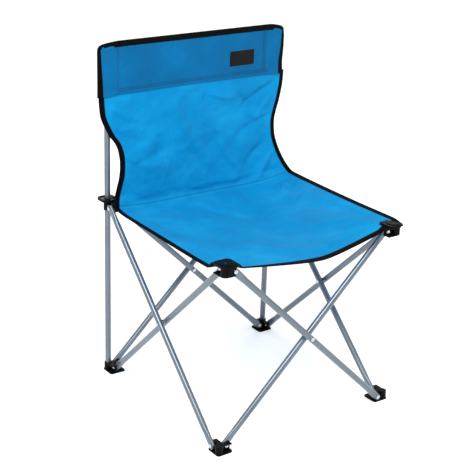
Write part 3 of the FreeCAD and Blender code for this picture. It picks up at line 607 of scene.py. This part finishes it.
def tape_over(name, edge, inward, normals, sizes, material, width=None, half=None):
    """Folded tape over a cloth edge: closed strip with rounded outer fold and capped ends."""
    width = (width or sizes.binding) / MM
    half = (half or sizes.binding_half) / MM
    section = [(-1.6, 0.0), (-1.3, 0.55 * half), (-0.5, 0.9 * half), (0.6, half), (0.5 * width,
            0.92 * half), (width - 1.0, half), (width - 0.2, 0.85 * half), (width, 0.45 * half)]
    section += [(a, -b) for a, b in reversed(section[1:])]
    verts, faces, uvs = [], [], []
    run = 0.0
    for k, (p, inner, n) in enumerate(zip(edge, inward, normals)):
        if k:
            run += (p - edge[k - 1]).length
        for a, b in section:
            verts.append(p + inner * (a * MM) + n * (b * MM))
            uvs.append((run, a * MM))
    ring = len(section)
    for k in range(len(edge) - 1):
        for m in range(ring):
            a, b = k * ring + m, k * ring + (m + 1) % ring
            faces.append((a, b, b + ring, a + ring))
    faces.append(tuple(range(ring - 1, -1, -1)))
    faces.append(tuple((len(edge) - 1) * ring + m for m in range(ring)))
    return closed_strip(name, verts, faces, material, uvs)


def edge_tape(name, cloth, side, low, high, sizes, material):
    """Tape along the cloth's left (-1) or right (1) edge between two stations."""
    numbers = cloth.band_of(low, high)
    at = 0 if side < 0 else len(cloth.across) - 1
    inner_at = 3 if side < 0 else len(cloth.across) - 4
    edge = [cloth.rows[j][at] for j in numbers]
    inward = [(cloth.rows[j][inner_at] - cloth.rows[j][at]).normalized() for j in numbers]
    normals = [cloth.normals[j][at] for j in numbers]
    width = sizes.binding if side < 0 else sizes.binding_right
    return tape_over(name, edge, inward, normals, sizes, material, width)


# One stitch: how far its middle stands proud, as a share of its radius, and (place, swell) along it.
STITCH_PROUD = 0.35
STITCH_SIDES = 6
STITCH_RINGS = ((-1.0, 0.3), (-0.7, 0.85), (0.0, 1.0), (0.7, 0.85), (1.0, 0.3))


def stitch_row(name, points, normals, sizes, material):
    """Row of single stitches along a line, each a small rounded bead half sunk in the cloth."""
    lengths = [0.0]
    for a, b in zip(points, points[1:]):
        lengths.append(lengths[-1] + (b - a).length)
    verts, faces = [], []
    half, radius = sizes.stitch / 2, sizes.thread / 2
    at = sizes.stitch_pitch / 2
    index = 0
    while at < lengths[-1]:
        while index < len(lengths) - 2 and lengths[index + 1] < at:
            index += 1
        s = (at - lengths[index]) / max(lengths[index + 1] - lengths[index], 1e-9)
        centre = points[index].lerp(points[index + 1], s)
        up = normals[index]
        along = (points[index + 1] - points[index]).normalized()
        side = up.cross(along).normalized()
        centre = centre + up * (radius * STITCH_PROUD)
        base = len(verts)
        for reach, swell in STITCH_RINGS:
            for q in range(STITCH_SIDES):
                angle = math.tau * q / STITCH_SIDES
                verts.append(centre + along * (reach * half) + side * (math.cos(angle) * radius * swell)
                             + up * (math.sin(angle) * radius * swell))
        for k in range(len(STITCH_RINGS) - 1):
            for q in range(STITCH_SIDES):
                a = base + k * STITCH_SIDES + q
                b = base + k * STITCH_SIDES + (q + 1) % STITCH_SIDES
                faces.append((a, b, b + STITCH_SIDES, a + STITCH_SIDES))
        last = base + (len(STITCH_RINGS) - 1) * STITCH_SIDES
        faces.append(tuple(base + q for q in range(STITCH_SIDES - 1, -1, -1)))
        faces.append(tuple(last + q for q in range(STITCH_SIDES)))
        at += sizes.stitch_pitch
    return closed_strip(name, verts, faces, material)


def gather(thing):
    """Give the piece its own copy of its mesh."""
    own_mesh(thing)


def material_of(name):
    """A finish made earlier."""
    return bpy.data.materials[name]


CLOTH_GRID = []


def shared_cloth():
    """The one sheet that seat and back are cut from."""
    if not CLOTH_GRID:
        CLOTH_GRID.append(Cloth(bpy.context.scene.chair_sizes))
    return CLOTH_GRID[0]


def cut_map(cloth, numbers):
    """Flat cut coordinates in metres of the rows."""
    return [[(p.x, cloth.run[j]) for p in cloth.rows[j]] for j in numbers]


def cut_piece(name, cloth, low, high, sizes, material):
    """One panel of the sheet between two stations."""
    numbers = cloth.band_of(low, high)
    return two_sided(name, [cloth.rows[j] for j in numbers], [cloth.normals[j] for j in numbers],
            cut_map(cloth, numbers), sizes.cloth, material)


# ------------------------------------------------------------------ operators
class CHAIR_OT_finishes(bpy.types.Operator):
    """Finish the steel tubes, rivets, screws and mouldings."""
    bl_idname = "chair.finishes"
    bl_label = "Frame finishes"

    def execute(self, context):
        colours = context.scene.chair_colours
        made = {
            "tube": powder_coated_tube(colours),
            # Bright zinc on cold-headed rivets: mirror-like, with faint handling marks.
            "rivet": worked_steel("zinc_plated_steel_rivet", [
                (0.35, shade(colours.rivet, 0.8)), (0.65, tuple(colours.rivet))],
                900.0, 0.14, 0.34, 0.1, 1.0),
            # Black oxide on steel screws: dark satin metal with light wear.
            "screw": worked_steel("black_oxide_steel_screw", [
                (0.45, tuple(colours.screw)), (0.7, shade(colours.screw, 2.4))], 700.0, 0.3, 0.5, 0.12, 0.85),
            # Glass-filled nylon, moulded: near black, half gloss, faint grain.
            "nylon": moulded_plastic("moulded_nylon_corner", colours.nylon, 0.28, 0.45, 0.1),
            # Polished ABS, moulded: near black, glossier and smoother than the corners.
            "cap": moulded_plastic("moulded_gloss_abs_cap", colours.cap, 0.2, 0.34, 0.04),
            # Nylon webbing on the corner patches: chunky ribs; real ones are about 2 mm apart.
            "webbing": ribbed_textile("woven_nylon_webbing", colours.tape, pitch=0.001451, waver=0.4,
                                      lint_scale=260.0, worn=2.6, relief=0.5, depth=0.0004, roughness=0.62),
        }
        # Damask label: satin weave whose fine ribs give it a soft, even black.
        ribbed_textile("woven_damask_label", colours.label, pitch=0.0008638, waver=0.3, lint_scale=300.0,
                worn=2.2, relief=0.3, depth=0.0002, roughness=0.48)
        woven_polyester("coated_polyester_cloth", colours.cloth, colours.cloth_light, 0.05, 0.5)
        woven_polyester("doubled_polyester_band", colours.band, shade(colours.band, 1.25), 0.02, 0.25)
        polypropylene_tape(colours)
        polyester_thread(colours)
        finish_of = (("_bar", "tube"), ("_post", "tube"), ("_rivet", "rivet"), ("_rivets", "rivet"),
                ("_screw", "screw"), ("_foot", "nylon"), ("_hub", "nylon"), ("_slider", "nylon"),
                ("_cap", "cap"), ("_plug", "cap"), ("_patch", "webbing"))
        for name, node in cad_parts.items():
            for ending, finish in finish_of:
                if name.endswith(ending) and name != "label_patch":
                    node.data.materials.clear()
                    node.data.materials.append(made[finish])
        return {"FINISHED"}


class CHAIR_OT_seat(bpy.types.Operator):
    """Hang the seat cloth with its front hem and side tapes."""
    bl_idname = "chair.seat"
    bl_label = "Seat cloth"

    def execute(self, context):
        sizes = context.scene.chair_sizes
        cloth = shared_cloth()
        blue, tape = material_of("coated_polyester_cloth"), material_of("woven_polypropylene_tape")
        halves = (("seat_front", 0.0, SEAT_FOLD, "seat_front_panel", "seat_front_binding"), ("seat_rear",
                SEAT_FOLD, 1.0, "seat_rear_panel", "seat_rear_binding"))
        for body, low, high, panel_node, binding_node in halves:
            panel = cut_piece(body + "_cloth", cloth, low, high, sizes, blue)
            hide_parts(panel_node)
            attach(panel, body)
            tapes = [edge_tape("%s_%s_tape" % (body, label), cloth, side, low, high, sizes, tape) for side,
                    label in ((-1, "left"), (1, "right"))]
            if body == "seat_front":
                row = cloth.rows[0]
                inward = [(cloth.rows[2][i] - row[i]).normalized() for i in range(len(row))]
                hem = tape_over("seat_front_hem_tape", row, inward, cloth.normals[0], sizes, tape)
                tapes.append(hem)
            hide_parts(binding_node)
            for strip in tapes:
                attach(strip, body)
                gather(strip)
            gather(panel)
            round(cloth.length(low, high), 3)
        return {"FINISHED"}


class CHAIR_OT_back(bpy.types.Operator):
    """Hang the backrest cloth with its side tapes and the seam to the seat."""
    bl_idname = "chair.back"
    bl_label = "Backrest cloth"

    def execute(self, context):
        sizes = context.scene.chair_sizes
        cloth = shared_cloth()
        blue, tape = material_of("coated_polyester_cloth"), material_of("woven_polypropylene_tape")
        thread = material_of("polyester_sewing_thread")
        parts = (("back_lower", 1.0, BACK_FOLD, "back_lower", 0.5), ("back_upper", BACK_FOLD, 2.05,
                "rear_left_leg", 0.516))
        for name, low, high, body, wide in parts:
            panel = cut_piece(name + "_cloth", cloth, low, high, sizes, blue)
            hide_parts(name + "_panel")
            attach(panel, body)
            extras = [edge_tape("%s_%s_tape" % (name, label), cloth, side, low, high, sizes,
                    tape) for side, label in ((-1, "left"), (1, "right"))]
            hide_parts(name + "_binding")
            if name == "back_lower":
                j = cloth.band_of(1.0, 1.2)[1]
                row = cloth.rows[j][3:-3]
                extras.append(stitch_row("seat_seam_stitches", row, cloth.normals[j][3:-3], sizes, thread))
            for thing in extras:
                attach(thing, body)
                gather(thing)
            gather(panel)
            length = cloth.length(low, high)
        return {"FINISHED"}


# ------------------------------------------------------------------ band and sleeves
STITCH_X = 0.2085
POST_SEAMS = (-0.2125, 0.1932, 0.1985)   # upright stitch rows beside the posts
FOOT_SEAMS = (0.0085, 0.0135)            # stitch rows above the band's lower edge
BAND_FOOT, BAND_TOP = 0.684, 0.8065
BAND_FRONT = 0.2206
SLEEVE_EDGE, SLEEVE_CORNER = 0.2575, 0.011
# Sleeve about the right post: (x, y) in mm from the band to the outer edge, front face then rear face.
SLEEVE_FRONT = ((208.5, 220.6), (214, 220.1), (222, 219.4), (230, 219.0), (238, 219.0), (246, 219.4),
                (252, 219.9), (257.5, 220.6))
SLEEVE_REAR = ((208.5, 223.4), (213, 227.5), (219, 233.5), (226, 238.0), (235, 239.6), (243, 238.2),
               (250, 232.0), (257.5, 222.4))


def band_top(x):
    """Height of the top edge: level over the middle, lower over the posts, with a round outer corner."""
    reach = abs(x)
    past = min(max(reach - SLEEVE_EDGE + SLEEVE_CORNER, 0.0), SLEEVE_CORNER)
    round_off = SLEEVE_CORNER - math.sqrt(SLEEVE_CORNER ** 2 - past ** 2)
    return BAND_TOP - 0.0075 * smooth(reach, 0.205, 0.262) - round_off


def sleeve_lean(side, x, z):
    """Sideways lean of a sleeve's outer edge: the left one bulges, the right one is drawn in half way up."""
    outer = smooth(x, 0.225, SLEEVE_EDGE)
    if side < 0:
        return 0.0065 * outer
    return -(0.004 + 0.0025 * math.exp(-((z - 0.714) / 0.024) ** 2)) * outer


def band_foot(x):
    """Height of the band's lower edge."""
    return BAND_FOOT + 0.0025 * (1 - (x / 0.26) ** 2)


def band_wave(x, z):
    """Shallow waves of the doubled cloth between the posts, in metres."""
    calm = smooth(z, BAND_FOOT, BAND_FOOT + 0.03) * smooth(BAND_TOP - z, 0.0, 0.02)
    calm *= 0.3 + 0.7 * smooth(STITCH_X - abs(x), -0.02, 0.04)
    return (noise.fractal(Vector((x * 11, 2.5, z * 5)), 0.9, 2.1, 3) * 0.0022
            + noise.noise(Vector((x * 38, 9.0, z * 7))) * 0.0005) * calm


def grid_normals(rows):
    """Smooth normals of a grid whose face looks towards -Y."""
    out = []
    for j, row in enumerate(rows):
        line = []
        for i in range(len(row)):
            a, b = row[max(0, i - 1)], row[min(len(row) - 1, i + 1)]
            c, e = rows[max(0, j - 1)][i], rows[min(len(rows) - 1, j + 1)][i]
            line.append((b - a).cross(e - c).normalized())
        out.append(line)
    return out


def band_grid():
    """Front face of the band between the stitch lines, with a rolled lower hem."""
    columns, high = 104, 30
    rows = []
    for j in range(high + 1):
        s = j / high
        row = []
        for i in range(columns + 1):
            x = -STITCH_X + 2 * STITCH_X * i / columns
            foot, top = band_foot(x), band_top(x)
            z = foot + (top - foot) * s
            roll = 0.0011 * math.exp(-((z - foot - 0.003) / 0.0035) ** 2)
            groove = -0.0006 * math.exp(-((z - foot - 0.0085) / 0.0016) ** 2)
            row.append(Vector((x, BAND_FRONT - band_wave(x, z) - roll - groove, z)))
        rows.append(row)
    return rows


class CHAIR_OT_band(bpy.types.Operator):
    """Sew the doubled band along the top with its tape, seams and label."""
    bl_idname = "chair.band"
    bl_label = "Top band and label"

    def execute(self, context):
        sizes = context.scene.chair_sizes
        dark, tape = material_of("doubled_polyester_band"), material_of("woven_polypropylene_tape")
        thread = material_of("polyester_sewing_thread")
        rows = band_grid()
        normals = grid_normals(rows)
        cut = [[(p.x, p.z) for p in row] for row in rows]
        band = two_sided("top_band_cloth", rows, normals, cut, sizes.band, dark)
        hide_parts("band_panel")
        top = rows[-1]
        down = [Vector((0, 0, -1))] * len(top)
        middle = [p + Vector((0, sizes.band / 2, 0)) for p in top]
        face = [Vector((0, -1, 0))] * len(top)
        trim = tape_over("top_band_tape", middle, down, face, sizes, tape, half=0.0019)
        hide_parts("top_binding")
        seams = []
        for k, up in enumerate(FOOT_SEAMS):
            line = [Vector((p.x, p.y, 0)) + Vector((0, -0.0001, band_foot(p.x) + up)) for p in rows[3]]
            seams.append(stitch_row("band_foot_stitches_%d" % (k + 1), line,
                    [Vector((0, -1, 0))] * len(line), sizes, thread))
        for k, x in enumerate(POST_SEAMS):
            line = []
            for m in range(41):
                z = band_foot(x) + 0.002 + (band_top(x) - 0.012 - band_foot(x)) * m / 40
                line.append(Vector((x, BAND_FRONT - 0.0003 - band_wave(x, z), z)))
            seams.append(stitch_row("post_seam_stitches_%d" % (k + 1), line,
                    [Vector((0, -1, 0))] * len(line), sizes, thread))
        label = self.label(sizes)
        for thing in [band, trim, label] + seams:
            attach(thing, "rear_left_leg")
            gather(thing)
        return {"FINISHED"}

    @staticmethod
    def label(sizes):
        """Bare woven label sewn on the band, following its waves."""
        low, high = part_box("label_patch")
        columns, count = 24, 12
        rows = []
        for j in range(count + 1):
            z = low.z + (high.z - low.z) * j / count
            row = []
            for i in range(columns + 1):
                x = low.x + (high.x - low.x) * i / columns
                border = min(i, columns - i, j, count - j)
                puff = sizes.label_thick * (1.0 if border else 0.55)
                row.append(Vector((x, BAND_FRONT - band_wave(x, z) - puff, z)))
            rows.append(row)
        thing = two_sided("bare_label", rows, grid_normals(rows),
                [[(p.x, p.z) for p in row] for row in rows], sizes.label_thick,
                material_of("woven_damask_label"))
        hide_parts("label_patch")
        return thing


class CHAIR_OT_sleeves(bpy.types.Operator):
    """Sew the sleeves that slip over the tops of the rear posts."""
    bl_idname = "chair.sleeves"
    bl_label = "Post sleeves"

    def execute(self, context):
        sizes = context.scene.chair_sizes
        dark, tape = material_of("doubled_polyester_band"), material_of("woven_polypropylene_tape")
        for side, label, body in ((-1, "left", "rear_left_leg"), (1, "right", "rear_right_leg")):
            pieces, extras = [], []
            for part, outline, facing in (("front", SLEEVE_FRONT, 1), ("rear", SLEEVE_REAR, -1)):
                rows = self.rows(outline, side, facing)
                strip = self.tape_round("%s_sleeve_%s_tape" % (label, part), rows, side, sizes, tape)
                extras.append(strip)
                if side * facing < 0:
                    rows = [list(reversed(row)) for row in rows]
                normals = grid_normals(rows)
                cut = [[(p.x, p.z) for p in row] for row in rows]
                piece = two_sided("%s_sleeve_%s_cloth" % (label, part), rows, normals, cut, sizes.cloth, dark)
                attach(piece, body)
                pieces.append(piece)
            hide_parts(label + "_sleeve")
            for thing in extras:
                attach(thing, body)
        return {"FINISHED"}

    @staticmethod
    def rows(outline, side, facing):
        """Grid of one face of a sleeve; the two faces close over the post's top."""
        track = Track([(float(k),) + point for k, point in enumerate(outline)])
        columns, high = 28, 34
        rows = []
        for j in range(high + 1):
            s = j / high
            row = []
            for i in range(columns + 1):
                x, y = track(i * (len(outline) - 1) / columns)
                x, y = x * MM, y * MM
                foot, top = band_foot(x), band_top(x)
                z = foot + (top - foot) * s
                close = smooth(z, top - 0.012, top - 0.001)
                hump = 0.0045 * smooth(x, 0.212, 0.235) * smooth(-x, -0.2575, -0.24)
                y += (BAND_FRONT + 0.0014 + hump - y) * close
                y -= band_wave(side * x, z) * (1 - close) * 0.6
                if facing > 0:
                    y -= 0.0009 * math.exp(-((z - foot - 0.003) / 0.0035) ** 2)
                row.append(Vector((side * (x + sleeve_lean(side, x, z)), y, z)))
            rows.append(row)
        return rows

    @staticmethod
    def tape_round(name, rows, side, sizes, tape):
        """Tape up a sleeve face's outer edge, round its corner and in along its top."""
        centre = Vector((side * (SLEEVE_EDGE - SLEEVE_CORNER), 0, rows[-1][-1].z))
        edge = [(row[-1], row[-5]) for row in rows[:-1]]
        edge += [(rows[-1][i], rows[-6][i]) for i in range(len(rows[-1]) - 1, -1, -1)]
        line, inward, normals = [], [], []
        for outer, inner in edge:
            if line and (outer - line[-1]).length < 0.0004:
                continue
            way = inner - outer
            if outer.z > centre.z and abs(outer.x) > abs(centre.x):
                way = Vector((centre.x - outer.x, 0, centre.z - outer.z))
            line.append(outer)
            inward.append(way.normalized())
            normals.append(Vector((0, -1, 0)))
        return tape_over(name, line, inward, normals, sizes, tape)


class CHAIR_OT_stage(bpy.types.Operator):
    """Set the pale studio floor, the soft lights and the camera."""
    bl_idname = "chair.stage"
    bl_label = "Studio and camera"

    def execute(self, context):
        scene = context.scene
        scene.view_settings.view_transform = "Standard"
        bpy.ops.object.select_all(action="DESELECT")
        bpy.ops.mesh.primitive_plane_add(size=60.0, location=(0, 0, 0))
        floor = context.object
        floor.name = "studio_floor"
        material, tree, shader = new_material("matt_paper_floor")
        place = add_node(tree, "ShaderNodeTexCoord").outputs["Object"]
        tone = add_node(tree, "ShaderNodeTexNoise", {"Vector": place, "Scale": 3.0})
        paper = add_node(tree, "ShaderNodeValToRGB", {"Fac": tone.outputs["Fac"]}, stops=[
            (0.0, shade(scene.chair_colours.floor, 0.975)), (1.0, tuple(scene.chair_colours.floor))])
        connect(tree, shader, base_color=paper.outputs["Color"], roughness=0.9, specular_ior_level=0.1,
                emission_color=(1.0, 1.0, 1.0, 1.0), emission_strength=0.3)
        floor.data.materials.append(material)
        world = bpy.data.worlds.new("studio_air")
        scene.world = world
        world.use_nodes = True
        back = world.node_tree.nodes["Background"]
        back.inputs["Color"].default_value = (1.0, 1.0, 1.0, 1.0)
        back.inputs["Strength"].default_value = 0.75
        lights = (("key_softbox", (-1.6, -1.2, 2.6), 1.0, 60.0), ("fill_softbox", (2.2, -1.6, 1.6), 1.8,
                8.0), ("rim_softbox", (0.6, 2.4, 2.2), 1.6, 14.0))
        for name, place, size, power in lights:
            data = bpy.data.lights.new(name, "AREA")
            data.shape, data.size, data.energy = "SQUARE", size, power
            lamp = bpy.data.objects.new(name, data)
            lamp.location = place
            lamp.rotation_euler = (Vector((0, 0, 0.4)) - Vector(place)).to_track_quat("-Z", "Y").to_euler()
            scene.collection.objects.link(lamp)
        self.camera(scene)
        return {"FINISHED"}

    @staticmethod
    def camera(scene):
        """Camera on the chair's left front, a little above the band."""
        yaw, pitch, roll = math.radians(36.642), math.radians(20.974), math.radians(2.073)
        ahead = Vector((math.cos(pitch) * math.sin(yaw), math.cos(pitch) * math.cos(yaw), -math.sin(pitch)))
        level = Vector((math.cos(yaw), -math.sin(yaw), 0))
        above = level.cross(ahead)
        right = level * math.cos(roll) + above * math.sin(roll)
        up = above * math.cos(roll) - level * math.sin(roll)
        data = bpy.data.cameras.new("camera")
        data.sensor_width = 36.0
        data.lens = 92.55
        data.clip_end = 100.0
        camera = bpy.data.objects.new("camera", data)
        turn = Matrix((right, up, -ahead)).transposed()
        camera.matrix_world = Matrix.Translation((-1.578, -2.0816, 1.3751)) @ turn.to_4x4()
        scene.collection.objects.link(camera)
        scene.camera = camera


class CHAIR_PT_panel(bpy.types.Panel):
    """Buttons for the pieces of the chair."""
    bl_label = "Camp chair"
    bl_idname = "CHAIR_PT_panel"
    bl_space_type = "VIEW_3D"
    bl_region_type = "UI"
    bl_category = "Camp Chair"

    def draw(self, context):
        for operator in STEPS:
            self.layout.operator(operator.bl_idname)


STEPS = (CHAIR_OT_finishes, CHAIR_OT_seat, CHAIR_OT_back, CHAIR_OT_band, CHAIR_OT_sleeves, CHAIR_OT_stage)
CLASSES = (ChairSizes, ChairColours) + STEPS + (CHAIR_PT_panel,)


def register():
    """Register the classes and the scene's settings."""
    for item in CLASSES:
        bpy.utils.register_class(item)
    bpy.types.Scene.chair_sizes = PointerProperty(type=ChairSizes)
    bpy.types.Scene.chair_colours = PointerProperty(type=ChairColours)


def unregister():
    """Remove the classes and the scene's settings."""
    del bpy.types.Scene.chair_colours
    del bpy.types.Scene.chair_sizes
    for item in reversed(CLASSES):
        bpy.utils.unregister_class(item)


def main():
    """Make the whole chair."""
    register()
    for operator in STEPS:
        group, name = operator.bl_idname.split(".")
        getattr(getattr(bpy.ops, group), name)()


if __name__ == "__main__":
    main()
